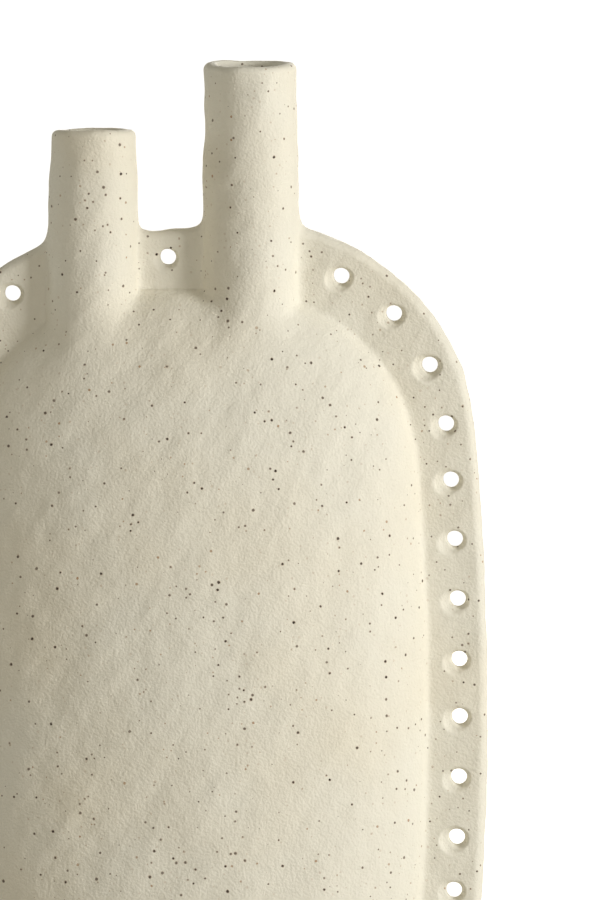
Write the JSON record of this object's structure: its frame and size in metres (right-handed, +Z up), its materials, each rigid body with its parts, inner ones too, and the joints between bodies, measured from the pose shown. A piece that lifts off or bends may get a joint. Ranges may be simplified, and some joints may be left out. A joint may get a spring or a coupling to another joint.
{
  "type": "pillow vase",
  "caption": "Upright slab-built pillow vase in speckled stoneware, with a flat pierced flange round its bulging body and two straight tube necks of unequal height.",
  "frame": {"origin": "middle of the foot on the table plane, on the seam between the two slabs", "axes": "+Z up, +X towards the tall neck's side, -Y out of the front, so that the seam and the flange lie in the XZ plane"},
  "size_m": [0.2524, 0.09, 0.444],
  "materials": {
    "stoneware": "matt speckled cream stoneware with a fine sandy grain"
  },
  "bodies": {
    "root": {"front_slab": "stoneware", "back_slab": "stoneware", "base_slab": "stoneware", "tall_neck": "stoneware", "short_neck": "stoneware"}
  },
  "joints": []
}
